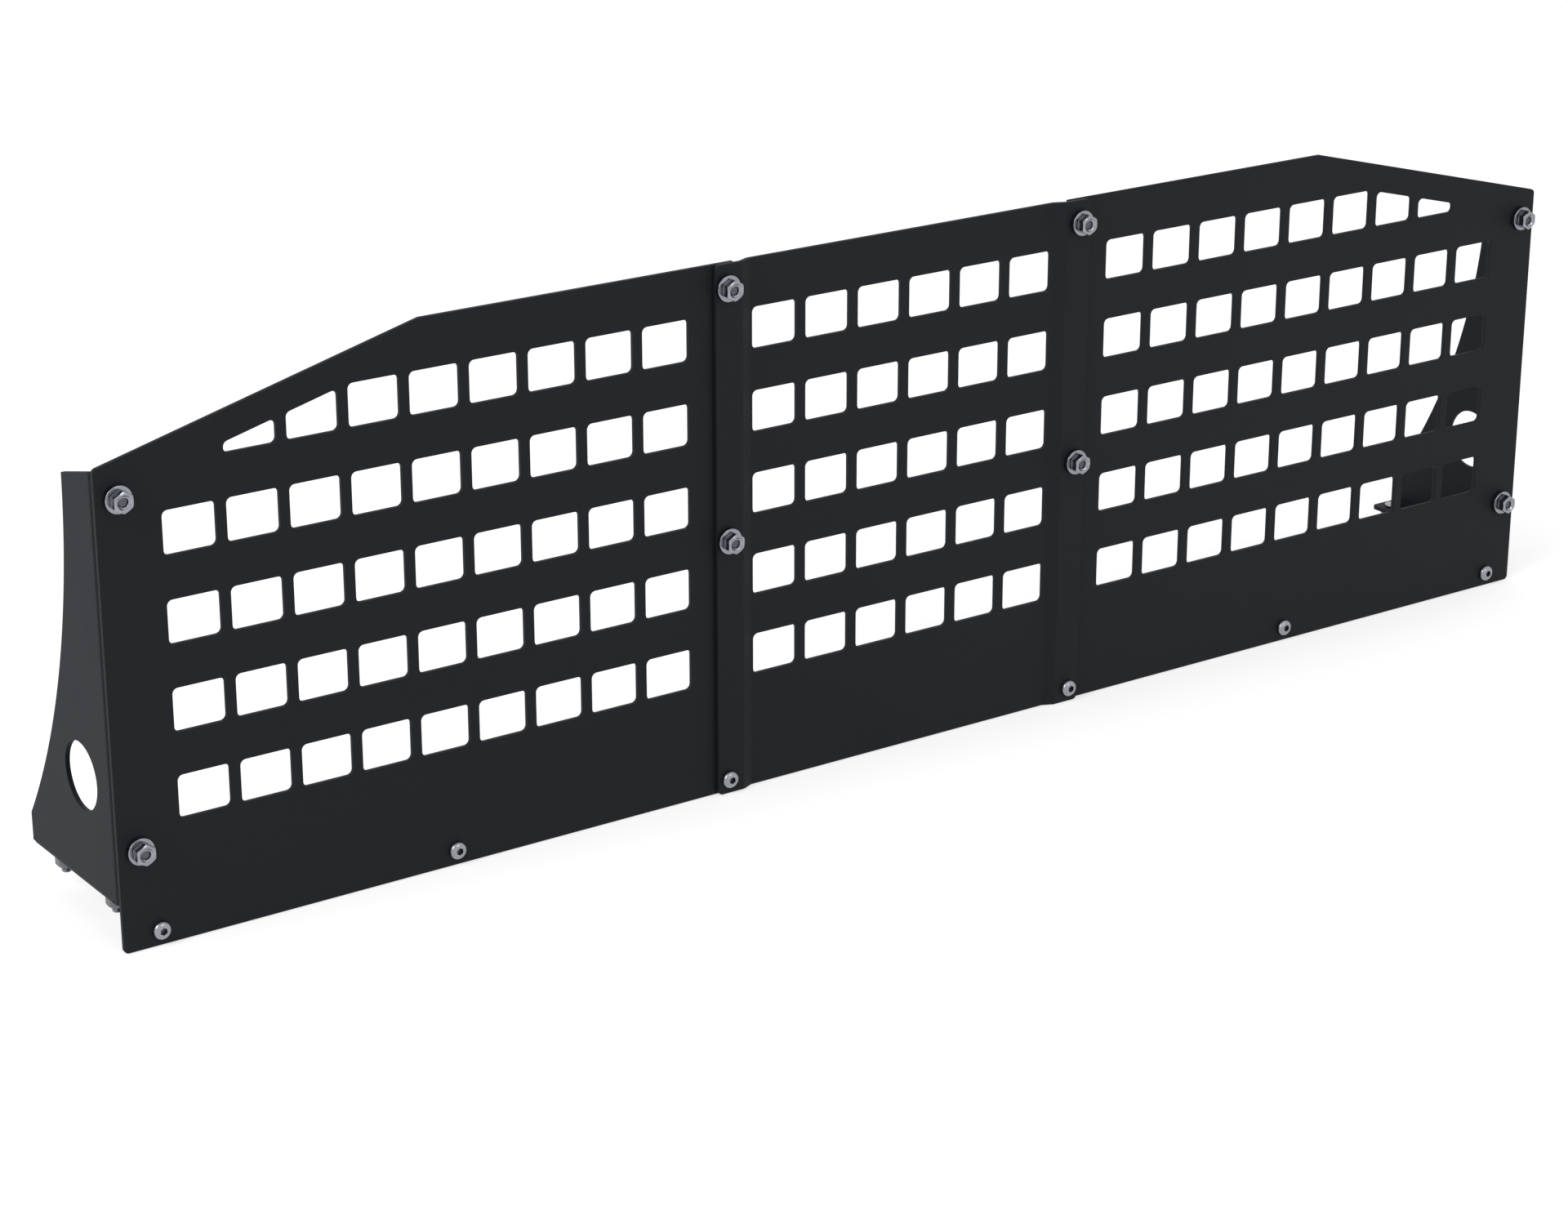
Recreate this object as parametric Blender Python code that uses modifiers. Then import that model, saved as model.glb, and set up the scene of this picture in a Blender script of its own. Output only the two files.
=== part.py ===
"""Headache rack: three windowed steel panels bolted in line and carried by two folded end brackets.

Metres, +Z up. X runs along the rack with X = 0 at its middle, Y runs from the front face to the rear
with Y = 0 on the rear face of the panels, and Z = 0 is the underside of the bracket feet.
"""
import math

import bmesh
import bpy
from mathutils import Matrix, Vector

# Sheet metal
SHEET = 0.0030                    # thickness of every panel and bracket
SEAT = 0.0003                     # gap that touching pieces keep
BEND_RADIUS = 0.0005              # inside radius of every fold

# Panel outline, seen from the front
RACK_LENGTH = 1.0605
PANEL_HEIGHT = 0.3302             # level middle stretch of the top edge
TOP_FALL = 0.0508                 # how far the top edge drops from there to both ends
LEVEL_TOP_LENGTH = 0.6640         # length of the level stretch
PANEL_DROP = 0.0250               # how far the panels hang below the feet
PANEL_CORNER = 0.0030             # corner radius

# Webbing windows: straps weave through a 1.5 by 2 inch grid
WINDOW_PITCH_X = 0.0381
WINDOW_PITCH_Z = 0.0508
WINDOW_BAR = 0.00635              # sheet between two windows of a row
WINDOW_BAND = 0.0254              # sheet between two rows
WINDOW_CORNER = 0.0032
FIRST_ROW_HEIGHT = 0.0846         # middle of the lowest row above the bottom edge
TOP_BORDER = 0.0180               # least sheet left above a window, measured straight up
END_BORDER = 0.0060               # least sheet between a window and a bracket flange or a panel joint
LOWEST_WINDOW = 0.0050            # a trimmed window with a shorter side than this is left out

# Centre panel: each side steps forward and laps over its neighbour
CENTER_WIDTH = 0.2260             # flat stretch between the two steps
STEP_WIDTH = 0.0072
LAP_WIDTH = 0.0187                # flange in front of the outer panel
LAP_CLEARANCE = 0.0043            # from the step to the hidden edge of the outer panel

# End brackets, seen from the side: Y is depth, Z is height
BRACKET_DEPTH = 0.1123
BRACKET_TOP_GAP = 0.0024          # top of the bracket below the top of the panel's end
BRACKET_TOP_DEPTH = 0.0379        # depth of the wall at its top
BRACKET_TOP_FALL = 0.0091         # drop of the slanted top edge
REAR_ARC_RADIUS = 0.3937          # hollow rear edge
TOE_HEIGHT = 0.0197               # where the hollow edge ends, above the underside of the foot
WALL_BOTTOM = 0.0024              # lower edge of the wall where the foot has ended
BRACKET_CORNER = 0.0015
FLANGE_WIDTH = 0.0254             # strip behind the panel
FOOT_WIDTH = 0.0236
FOOT_FRONT = 0.0070
FOOT_REAR_GAP = 0.0020            # rear edge of the foot to the rear of the bracket
FOOT_CORNER = 0.0030
RELIEF = 0.0005                   # slit at both ends of the foot's fold
WALL_HOLE = 0.0400                # round lightening hole in the side wall
WALL_HOLE_DEPTH = 0.0390
WALL_HOLE_HEIGHT = 0.0672

# Quarter inch hardware
BOLT_DIAMETER = 0.00635
BOLT_CLEARANCE = 0.0004           # round a bolt in sheet and washers
THREAD_CLEARANCE = 0.0003         # round a bolt in its nut
HEX_WIDTH = 0.0111                # across the flats of heads and nuts
BOLT_HEAD = 0.0040
NUT_HEIGHT = 0.0062
LOCK_NUT_HEIGHT = 0.0079          # taller nuts under the feet
WASHER_DIAMETER = 0.0159
WASHER_THICKNESS = 0.0030
BOLT_RECESS = 0.0020              # end of a panel bolt below the face of its nut
FOOT_BOLT_REACH = 0.0046          # end of a foot bolt beyond its nut
FOOT_HEAD_DIAMETER = 0.0106       # low round head on top of the foot
FOOT_HEAD_HEIGHT = 0.0014
FOOT_HEAD_CHAMFER = 0.0004
BUTTON_DIAMETER = 0.0109
BUTTON_HEIGHT = 0.0034
BUTTON_RIM = 0.0007               # straight edge below the dome
SOCKET_WIDTH = 0.0040             # hex socket, across its flats
SOCKET_DEPTH = 0.0020
SOCKET_LAND = 0.0003              # flat ring round the socket's corners
SCREW_LENGTH = 0.0127

# Where the hardware sits
JOINT_BOLT_INSET = 0.0111         # from the step, on the lap
JOINT_UPPER_DROP = 0.0140         # below the level top edge
JOINT_MIDDLE_RISE = 0.1621        # above the bottom edge
END_BOLT_INSET = 0.0127           # from the end of the rack
END_UPPER_DROP = 0.0176           # below the top of the panel's end
END_LOWER_RISE = 0.0346           # above the underside of the feet
SCREW_END_INSET = 0.0226          # outermost button head, from the end of the rack
SCREW_EDGE = 0.0093               # above the bottom edge of the panels
FOOT_BOLT_INSET = 0.0138          # from the outer face of the wall
FOOT_BOLT_FRONT = 0.0267          # from the front edge of the foot
FOOT_BOLT_REAR = 0.0103           # from the rear edge of the foot

# How finely shapes are drawn
WINDOW_STEPS = 2
BEND_STEPS = 4
CORNER_STEPS = 3
ARC_STEPS = 12
DOME_STEPS = 3
HOLE_SIDES = 12
WALL_HOLE_SIDES = 32
WASHER_SIDES = 16
SCREW_SIDES = 16
SMOOTH_ANGLE = math.radians(35)   # sharper edges stay crisp
EDGE_SHARE = 0.48                 # most of an edge that the arc at one end may take
CUT_OVERRUN = 0.010               # how far cutting shapes reach past what they cut
WELD = 1e-6                       # points closer than this are one

# Worked out from the sizes above
HALF_LENGTH = RACK_LENGTH / 2
BOTTOM = -PANEL_DROP
LEVEL_TOP = BOTTOM + PANEL_HEIGHT
SIDE_TOP = LEVEL_TOP - TOP_FALL
LEVEL_END = LEVEL_TOP_LENGTH / 2
WINDOW_WIDTH = WINDOW_PITCH_X - WINDOW_BAR
WINDOW_HEIGHT = WINDOW_PITCH_Z - WINDOW_BAND
STEP_START = CENTER_WIDTH / 2
STEP_END = STEP_START + STEP_WIDTH
LAP_EDGE = STEP_END + LAP_WIDTH
STEP_OFFSET = SHEET + SEAT
OUTER_BEND = BEND_RADIUS + SHEET
FOLD_LENGTH = (BEND_RADIUS + SHEET / 2) * math.radians(90)    # flat length of a fold, along its middle
FOLD_SAVING = 2 * OUTER_BEND - FOLD_LENGTH    # how much shorter the flat sheet is than its folded sides
SIDE_INNER = STEP_END + LAP_CLEARANCE
FRONT = -SHEET
LAP_FRONT = FRONT - STEP_OFFSET
BRACKET_HEIGHT = SIDE_TOP - BRACKET_TOP_GAP
FOOT_REAR = BRACKET_DEPTH - FOOT_REAR_GAP
HOLE_RADIUS = BOLT_DIAMETER / 2 + BOLT_CLEARANCE
JOINT_BOLT_X = STEP_END + JOINT_BOLT_INSET
JOINT_BOLT_HEIGHTS = {"upper": LEVEL_TOP - JOINT_UPPER_DROP, "middle": BOTTOM + JOINT_MIDDLE_RISE}
END_BOLT_X = HALF_LENGTH - END_BOLT_INSET
END_BOLT_HEIGHTS = {"upper": SIDE_TOP - END_UPPER_DROP, "lower": END_LOWER_RISE}
SCREW_HEIGHT = BOTTOM + SCREW_EDGE
OUTER_SCREW_X = HALF_LENGTH - SCREW_END_INSET
SCREW_PLACES = {"inner": JOINT_BOLT_X, "middle": (JOINT_BOLT_X + OUTER_SCREW_X) / 2, "outer": OUTER_SCREW_X}
FOOT_BOLT_X = HALF_LENGTH - FOOT_BOLT_INSET
FOOT_BOLT_DEPTHS = {"front": FOOT_FRONT + FOOT_BOLT_FRONT, "rear": FOOT_REAR - FOOT_BOLT_REAR}
SIDES = {"left": -1, "right": 1}

# Turns that stand a drawing up
FACING_FRONT = Matrix.Rotation(math.radians(90), 4, "X")      # drawing up is +Z, its normal is -Y
FACING_REAR = Matrix.Rotation(math.radians(-90), 4, "X")      # the normal is +Y
FACING_DOWN = Matrix.Rotation(math.radians(180), 4, "X")      # the normal is -Z
FACING_UP = Matrix.Identity(4)


def clear_scene():
    for old in list(bpy.data.objects):
        bpy.data.objects.remove(old, do_unlink=True)


def collection(name):
    group = bpy.data.collections.new(name)
    bpy.context.scene.collection.children.link(group)
    return group


def finish(name, colour, roughness, metallic):
    material = bpy.data.materials.new(name)
    material.use_nodes = True
    shader = material.node_tree.nodes["Principled BSDF"]
    shader.inputs["Base Color"].default_value = (*colour, 1)
    shader.inputs["Roughness"].default_value = roughness
    shader.inputs["Metallic"].default_value = metallic
    return material


# Outlines

def rounded(corners, steps):
    """The closed outline through (x, y, radius) corners, each arc limited to what its edges have room for."""
    points = []
    for index, (x, y, radius) in enumerate(corners):
        here = Vector((x, y))
        back = Vector(corners[index - 1][:2]) - here
        ahead = Vector(corners[(index + 1) % len(corners)][:2]) - here
        half = back.angle(ahead) / 2
        reach = min(radius / math.tan(half), EDGE_SHARE * back.length, EDGE_SHARE * ahead.length)
        if reach <= 0:
            points.append((x, y))
            continue
        centre = here + (back.normalized() + ahead.normalized()).normalized() * (reach / math.cos(half))
        start = here + back.normalized() * reach - centre
        end = here + ahead.normalized() * reach - centre
        sweep = math.atan2(start.x * end.y - start.y * end.x, start.dot(end))
        for step in range(steps + 1):
            turn = Matrix.Rotation(sweep * step / steps, 2)
            points.append(tuple(centre + turn @ start))
    return points


def circle(x, y, radius, sides):
    return [(x + radius * math.cos(math.tau * k / sides), y + radius * math.sin(math.tau * k / sides))
            for k in range(sides)]


def hexagon(width):
    """A hexagon with a flat to either side and a corner at the top."""
    radius = width / math.sqrt(3)
    return [(radius * math.sin(math.tau * k / 6), radius * math.cos(math.tau * k / 6)) for k in range(6)]


def top_edge(x):
    """Height of the panels' top edge at x: level in the middle and falling to both ends."""
    fall = (LEVEL_TOP - SIDE_TOP) / (HALF_LENGTH - LEVEL_END)
    return LEVEL_TOP - max(0, abs(x) - LEVEL_END) * fall


def window(x, z):
    """The corners of the window centred on (x, z), with its top trimmed along the slanted edge, or None."""
    outward = math.copysign(WINDOW_WIDTH / 2, x)
    floor = z - WINDOW_HEIGHT / 2
    ceiling = z + WINDOW_HEIGHT / 2
    inner_top = min(ceiling, top_edge(x - outward) - TOP_BORDER)
    outer_top = min(ceiling, top_edge(x + outward) - TOP_BORDER)
    if min(inner_top, outer_top) - floor < LOWEST_WINDOW:
        return None
    return [(x - outward, floor, WINDOW_CORNER), (x + outward, floor, WINDOW_CORNER),
            (x + outward, outer_top, WINDOW_CORNER), (x - outward, inner_top, WINDOW_CORNER)]


def windows(nearest, farthest):
    """Every window of the shared grid that lies between two X positions."""
    loops = []
    columns = math.ceil(RACK_LENGTH / WINDOW_PITCH_X / 2)
    rows = math.ceil(PANEL_HEIGHT / WINDOW_PITCH_Z)
    for column in range(-columns, columns):
        x = (column + 0.5) * WINDOW_PITCH_X
        if x - WINDOW_WIDTH / 2 < nearest or x + WINDOW_WIDTH / 2 > farthest:
            continue
        for row in range(rows):
            corners = window(x, BOTTOM + FIRST_ROW_HEIGHT + row * WINDOW_PITCH_Z)
            if corners:
                loops.append(rounded(corners, WINDOW_STEPS))
    return loops


def bolt_holes(places):
    return [circle(x, z, HOLE_RADIUS, HOLE_SIDES) for x, z in places]


# Solids

def flat_solid(name, loops, thickness, turn, place):
    """A mesh of closed outlines (the first is the edge, the rest are holes) drawn out to a thickness."""
    curve = bpy.data.curves.new(name, "CURVE")
    curve.dimensions = "2D"
    curve.fill_mode = "BOTH"
    curve.extrude = thickness / 2
    for loop in loops:
        spline = curve.splines.new("POLY")
        spline.points.add(len(loop) - 1)
        spline.use_cyclic_u = True
        for point, (x, y) in zip(spline.points, loop):
            point.co = (x, y, 0, 1)
    drawn = bpy.data.objects.new(name, curve)
    bpy.context.scene.collection.objects.link(drawn)
    drawn.matrix_world = Matrix.Translation(place) @ turn
    mesh = baked(drawn)
    bpy.data.objects.remove(drawn)
    bpy.data.curves.remove(curve)
    return mesh


def baked(drawn):
    """The evaluated mesh of an object in world space, welded, with its faces pointing out."""
    bpy.context.view_layer.update()
    evaluated = drawn.evaluated_get(bpy.context.evaluated_depsgraph_get())
    mesh = bpy.data.meshes.new_from_object(evaluated)
    mesh.transform(drawn.matrix_world)
    work = bmesh.new()
    work.from_mesh(mesh)
    bmesh.ops.remove_doubles(work, verts=work.verts, dist=WELD)
    bmesh.ops.recalc_face_normals(work, faces=work.faces)
    work.to_mesh(mesh)
    work.free()
    return mesh


def cutter(name, mesh):
    shape = bpy.data.objects.new(name, mesh)
    shape.hide_render = True
    shape.display_type = "WIRE"
    cutters.objects.link(shape)
    return shape


def combine(shape, operation, mesh):
    """Adds a Boolean with a mesh of its own to an object."""
    step = shape.modifiers.new(operation.title(), "BOOLEAN")
    step.operation = operation
    step.solver = "EXACT"
    step.object = cutter(shape.name + "_" + operation.lower() + "_%d" % len(shape.modifiers), mesh)


def turned(name, profile, sides, closed):
    """A mesh turned about Z from an (r, z) profile that runs down its outer side."""
    mesh = bpy.data.meshes.new(name)
    edges = [(k, k + 1) for k in range(len(profile) - 1)]
    if closed:
        edges.append((len(profile) - 1, 0))
    mesh.from_pydata([(r, 0, z) for r, z in profile], edges, [])
    drawn = bpy.data.objects.new(name, mesh)
    bpy.context.scene.collection.objects.link(drawn)
    screw = drawn.modifiers.new("Turn", "SCREW")
    screw.steps = sides
    screw.render_steps = sides
    screw.use_merge_vertices = True
    screw.merge_threshold = WELD
    solid = baked(drawn)
    bpy.data.objects.remove(drawn)
    return solid


def joined(name, mesh, operation, other):
    """The mesh of one solid combined with another."""
    shape = bpy.data.objects.new(name, mesh)
    bpy.context.scene.collection.objects.link(shape)
    combine(shape, operation, other)
    solid = baked(shape)
    bpy.data.objects.remove(shape)
    return solid


def piece(name, mesh, material, place=(0, 0, 0), turn=FACING_UP):
    shape = bpy.data.objects.new(name, mesh)
    shape.matrix_world = Matrix.Translation(place) @ turn
    if not mesh.materials:
        mesh.materials.append(material)
    rack.objects.link(shape)
    return shape


# Panels

def outer_panel(name, side):
    """A flat sheet from the hidden edge behind the centre panel to the end of the rack."""
    edge = rounded([(side * SIDE_INNER, BOTTOM, 0), (side * HALF_LENGTH, BOTTOM, PANEL_CORNER),
                    (side * HALF_LENGTH, SIDE_TOP, PANEL_CORNER), (side * LEVEL_END, LEVEL_TOP, PANEL_CORNER),
                    (side * SIDE_INNER, LEVEL_TOP, 0)], CORNER_STEPS)
    clear = sorted((side * (LAP_EDGE + END_BORDER), side * (HALF_LENGTH - FLANGE_WIDTH - END_BORDER)))
    holes = [(side * JOINT_BOLT_X, z) for z in JOINT_BOLT_HEIGHTS.values()]
    holes += [(side * END_BOLT_X, z) for z in END_BOLT_HEIGHTS.values()]
    holes += [(side * x, SCREW_HEIGHT) for x in SCREW_PLACES.values()]
    loops = [edge] + windows(*clear) + bolt_holes(holes)
    piece(name, flat_solid(name, loops, SHEET, FACING_FRONT, (0, -SHEET / 2, 0)), panel_coat)


def stepped_section():
    """Plan of the centre panel's sheet: flat in the middle, with each side stepped forward by one sheet."""
    lean = math.atan2(STEP_OFFSET, STEP_WIDTH)
    miter = SHEET * math.tan(lean / 2)
    far = LAP_EDGE + CUT_OVERRUN
    front = [(STEP_START, FRONT, BEND_RADIUS), (STEP_END, LAP_FRONT, OUTER_BEND), (far, LAP_FRONT, 0)]
    rear = [(far, LAP_FRONT + SHEET, 0), (STEP_END + miter, LAP_FRONT + SHEET, BEND_RADIUS),
            (STEP_START + miter, 0, OUTER_BEND)]
    right = front + rear
    left = [(-x, y, radius) for x, y, radius in reversed(right)]
    return rounded(right + left, 1)


def center_panel():
    """The stepped sheet, trimmed to its front outline with its windows and holes."""
    name = "center_panel"
    strip = flat_solid(name, [stepped_section()], PANEL_HEIGHT + 2 * CUT_OVERRUN, FACING_UP,
                       (0, 0, (BOTTOM + LEVEL_TOP) / 2))
    edge = rounded([(-LAP_EDGE, BOTTOM, PANEL_CORNER), (LAP_EDGE, BOTTOM, PANEL_CORNER),
                    (LAP_EDGE, LEVEL_TOP, PANEL_CORNER), (-LAP_EDGE, LEVEL_TOP, PANEL_CORNER)], CORNER_STEPS)
    holes = [(side * JOINT_BOLT_X, z) for side in SIDES.values()
             for z in (*JOINT_BOLT_HEIGHTS.values(), SCREW_HEIGHT)]
    loops = [edge] + windows(-STEP_START, STEP_START) + bolt_holes(holes)
    depth = SHEET + STEP_OFFSET + 2 * CUT_OVERRUN
    outline = flat_solid(name + "_outline", loops, depth, FACING_FRONT, (0, LAP_FRONT / 2, 0))
    combine(piece(name, strip, panel_coat), "INTERSECT", outline)


# Brackets: each is one sheet, cut flat and then folded

def hollow_edge(start, end, radius):
    """Points of the arc between two points that bows to the left of the way from start to end."""
    chord = Vector(end) - Vector(start)
    sweep = 2 * math.asin(chord.length / 2 / radius)
    right = Vector((chord.y, -chord.x)).normalized()
    centre = (Vector(start) + Vector(end)) / 2 + right * radius * math.cos(sweep / 2)
    spoke = Vector(start) - centre
    turns = [Matrix.Rotation(-sweep * step / ARC_STEPS, 2) for step in range(ARC_STEPS + 1)]
    return [tuple(centre + turn @ spoke) for turn in turns]


def bracket_blank():
    """The flat left bracket, drawn as depth and height: the wall, its flange in front, its foot below."""
    flange_edge = SEAT + FOLD_SAVING - FLANGE_WIDTH
    foot_edge = FOLD_SAVING - FOOT_WIDTH
    slit_top = OUTER_BEND + RELIEF
    flange = [(flange_edge, WALL_BOTTOM, BRACKET_CORNER), (FOOT_FRONT - RELIEF, WALL_BOTTOM, 0),
              (FOOT_FRONT - RELIEF, slit_top, 0), (FOOT_FRONT, slit_top, 0)]
    foot = [(FOOT_FRONT, foot_edge, FOOT_CORNER), (FOOT_REAR, foot_edge, FOOT_CORNER)]
    toe = [(FOOT_REAR, slit_top, 0), (FOOT_REAR + RELIEF, slit_top, 0), (FOOT_REAR + RELIEF, WALL_BOTTOM, 0),
           (BRACKET_DEPTH, WALL_BOTTOM, BRACKET_CORNER)]
    top_rear = (BRACKET_TOP_DEPTH, BRACKET_HEIGHT - BRACKET_TOP_FALL)
    rear = [(y, z, 0) for y, z in hollow_edge((BRACKET_DEPTH, TOE_HEIGHT), top_rear, REAR_ARC_RADIUS)]
    top = [(SEAT + OUTER_BEND, BRACKET_HEIGHT, 0), (flange_edge, BRACKET_HEIGHT, BRACKET_CORNER)]
    holes = [(SEAT + FOLD_SAVING - END_BOLT_INSET, z) for z in END_BOLT_HEIGHTS.values()]
    holes += [(y, FOLD_SAVING - FOOT_BOLT_INSET) for y in FOOT_BOLT_DEPTHS.values()]
    wall_hole = circle(WALL_HOLE_DEPTH, WALL_HOLE_HEIGHT, WALL_HOLE / 2, WALL_HOLE_SIDES)
    return [rounded(flange + foot + toe + rear + top, CORNER_STEPS), wall_hole] + bolt_holes(holes)


def folded(point):
    """Where a point of the flat left bracket lies once the flange and the foot are folded in."""
    depth = SHEET / 2 - point.z
    radius = OUTER_BEND - depth
    in_foot = FOOT_FRONT - RELIEF / 2 < point.x < FOOT_REAR + RELIEF / 2
    past = OUTER_BEND - point.y if in_foot else SEAT + OUTER_BEND - point.x
    if past <= 0:
        return Vector((depth - HALF_LENGTH, point.x, point.y))
    turn = min(past / FOLD_LENGTH, 1) * math.radians(90)
    across = OUTER_BEND - radius * math.cos(turn) + max(0, past - FOLD_LENGTH) - HALF_LENGTH
    along = OUTER_BEND - radius * math.sin(turn)
    return Vector((across, point.x, along)) if in_foot else Vector((across, SEAT + along, point.y))


def left_bracket_mesh():
    """The blank, scored in narrow strips along both folds and folded."""
    mesh = flat_solid("left_bracket", bracket_blank(), SHEET, FACING_UP, (0, 0, 0))
    work = bmesh.new()
    work.from_mesh(mesh)
    for step in range(BEND_STEPS + 1):
        strip = OUTER_BEND - FOLD_LENGTH * step / BEND_STEPS
        for place, direction in (((SEAT + strip, 0, 0), (1, 0, 0)), ((0, strip, 0), (0, 1, 0))):
            everything = work.verts[:] + work.edges[:] + work.faces[:]
            bmesh.ops.bisect_plane(work, geom=everything, dist=WELD, plane_co=place, plane_no=direction)
    for vert in work.verts:
        vert.co = folded(vert.co)
    bmesh.ops.recalc_face_normals(work, faces=work.faces)
    work.to_mesh(mesh)
    work.free()
    return mesh


def mirrored(mesh):
    """A copy of a mesh, mirrored about X = 0."""
    image = mesh.copy()
    image.transform(Matrix.Scale(-1, 4, (1, 0, 0)))
    image.flip_normals()
    return image


def brackets():
    """The left bracket and its mirror image."""
    left = left_bracket_mesh()
    right = mirrored(left)
    piece("left_bracket", left, bracket_coat)
    piece("right_bracket", right, bracket_coat)


# Hardware: each lies along Z with its bearing face at Z = 0

def washer_mesh():
    outer = WASHER_DIAMETER / 2
    profile = [(outer, WASHER_THICKNESS), (outer, 0), (HOLE_RADIUS, 0), (HOLE_RADIUS, WASHER_THICKNESS)]
    return turned("washer", profile, WASHER_SIDES, True)


def nut_mesh(name, height):
    bore = circle(0, 0, BOLT_DIAMETER / 2 + THREAD_CLEARANCE, HOLE_SIDES)
    return flat_solid(name, [hexagon(HEX_WIDTH), bore], height, FACING_UP, (0, 0, height / 2))


def panel_bolt_mesh(length):
    """A hex head below Z = 0 and its shank up to the given length."""
    name = "panel_bolt"
    head = flat_solid(name, [hexagon(HEX_WIDTH)], BOLT_HEAD, FACING_UP, (0, 0, -BOLT_HEAD / 2))
    rooted = length + BOLT_HEAD / 2
    shank = flat_solid(name + "_shank", [circle(0, 0, BOLT_DIAMETER / 2, HOLE_SIDES)], rooted, FACING_UP,
                       (0, 0, length - rooted / 2))
    return joined(name, head, "UNION", shank)


def foot_bolt_mesh(length):
    """A low round head below Z = 0, chamfered on top, and its shank up to the given length."""
    shank = BOLT_DIAMETER / 2
    rim = FOOT_HEAD_DIAMETER / 2
    stem = [(0, length), (shank, length), (shank, 0)]
    edge = FOOT_HEAD_CHAMFER
    head = [(rim, 0), (rim, edge - FOOT_HEAD_HEIGHT), (rim - edge, -FOOT_HEAD_HEIGHT), (0, -FOOT_HEAD_HEIGHT)]
    return turned("foot_bolt", stem + head, SCREW_SIDES, False)


def screw_mesh():
    """A domed button head below Z = 0 with a hex socket, and its shank up to the screw's length."""
    shank = BOLT_DIAMETER / 2
    rim = BUTTON_DIAMETER / 2
    dome = BUTTON_HEIGHT - BUTTON_RIM
    land = SOCKET_WIDTH / math.sqrt(3) + SOCKET_LAND
    profile = [(0, SCREW_LENGTH), (shank, SCREW_LENGTH), (shank, 0), (rim, 0), (rim, -BUTTON_RIM)]
    for step in range(1, DOME_STEPS + 1):
        angle = math.radians(90) * step / DOME_STEPS
        profile.append((land + (rim - land) * math.cos(angle), -BUTTON_RIM - dome * math.sin(angle)))
    profile.append((0, -BUTTON_HEIGHT))
    solid = turned("screw", profile, SCREW_SIDES, False)
    socket = flat_solid("socket", [hexagon(SOCKET_WIDTH)], 2 * SOCKET_DEPTH, FACING_UP,
                        (0, 0, -BUTTON_HEIGHT))
    return joined("screw", solid, "DIFFERENCE", socket)


def panel_bolts():
    """Bolts from behind through two sheets, with a washer and a nut in front."""
    grip = 2 * SHEET + SEAT
    length = SEAT + grip + SEAT + WASHER_THICKNESS + SEAT + NUT_HEIGHT - BOLT_RECESS
    bolt = panel_bolt_mesh(length)
    for side_name, side in SIDES.items():
        places = [("joint_" + level, side * JOINT_BOLT_X, z, LAP_FRONT)
                  for level, z in JOINT_BOLT_HEIGHTS.items()]
        places += [("end_" + level, side * END_BOLT_X, z, FRONT) for level, z in END_BOLT_HEIGHTS.items()]
        for label, x, z, front in places:
            name = side_name + "_" + label
            washer_back = front - SEAT
            nut_back = washer_back - WASHER_THICKNESS - SEAT
            piece(name + "_bolt", bolt, bolt_zinc, (x, front + grip + SEAT, z), FACING_FRONT)
            piece(name + "_washer", washer, washer_zinc, (x, washer_back, z), FACING_FRONT)
            piece(name + "_nut", nut, nut_zinc, (x, nut_back, z), FACING_FRONT)


def lower_screws():
    """Button heads in front along the bottom edge, with nuts on the rear face."""
    screw = screw_mesh()
    for side_name, side in SIDES.items():
        for label, x in SCREW_PLACES.items():
            name = side_name + "_" + label
            front = LAP_FRONT if x < LAP_EDGE else FRONT
            head = (side * x, front - SEAT, SCREW_HEIGHT)
            piece(name + "_lower_screw", screw, bolt_zinc, head, FACING_REAR)
            piece(name + "_lower_nut", nut, nut_zinc, (side * x, SEAT, SCREW_HEIGHT), FACING_REAR)


def foot_bolts():
    """Bolts down through each foot, with a washer and a lock nut underneath."""
    head = SHEET + SEAT
    nut_top = -SEAT - WASHER_THICKNESS - SEAT
    bolt = foot_bolt_mesh(head - nut_top + LOCK_NUT_HEIGHT + FOOT_BOLT_REACH)
    lock_nut = nut_mesh("lock_nut", LOCK_NUT_HEIGHT)
    for side_name, side in SIDES.items():
        for label, y in FOOT_BOLT_DEPTHS.items():
            name = side_name + "_" + label + "_foot"
            x = side * FOOT_BOLT_X
            piece(name + "_bolt", bolt, bolt_zinc, (x, y, head), FACING_DOWN)
            piece(name + "_washer", washer, washer_zinc, (x, y, -SEAT), FACING_DOWN)
            piece(name + "_lock_nut", lock_nut, nut_zinc, (x, y, nut_top), FACING_DOWN)


def smooth_round_pieces():
    for shape in rack.objects:
        shape.data.shade_smooth()
        shape.data.set_sharp_from_angle(angle=SMOOTH_ANGLE)


clear_scene()
rack = collection("headache_rack")
cutters = collection("cutters")
panel_coat = finish("panel_black_powder_coat", (0.021, 0.021, 0.023), 0.55, 0.0)
bracket_coat = finish("bracket_black_powder_coat", (0.023, 0.023, 0.025), 0.55, 0.0)
bolt_zinc = finish("bolt_zinc_plate", (0.55, 0.57, 0.60), 0.28, 1.0)
nut_zinc = finish("nut_zinc_plate", (0.55, 0.57, 0.60), 0.25, 1.0)
washer_zinc = finish("washer_zinc_plate", (0.52, 0.54, 0.57), 0.20, 1.0)

outer_panel("left_panel", SIDES["left"])
outer_panel("right_panel", SIDES["right"])
center_panel()
brackets()
washer = washer_mesh()
nut = nut_mesh("nut", NUT_HEIGHT)
panel_bolts()
lower_screws()
foot_bolts()
smooth_round_pieces()
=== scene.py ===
"""Looks of a headache rack: powder-coated sheet panels and brackets with bright zinc hardware.

Metres, in the frame of the CAD parts: X along the rack, Y from the front face to the rear, Z up.
"""
import math

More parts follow.
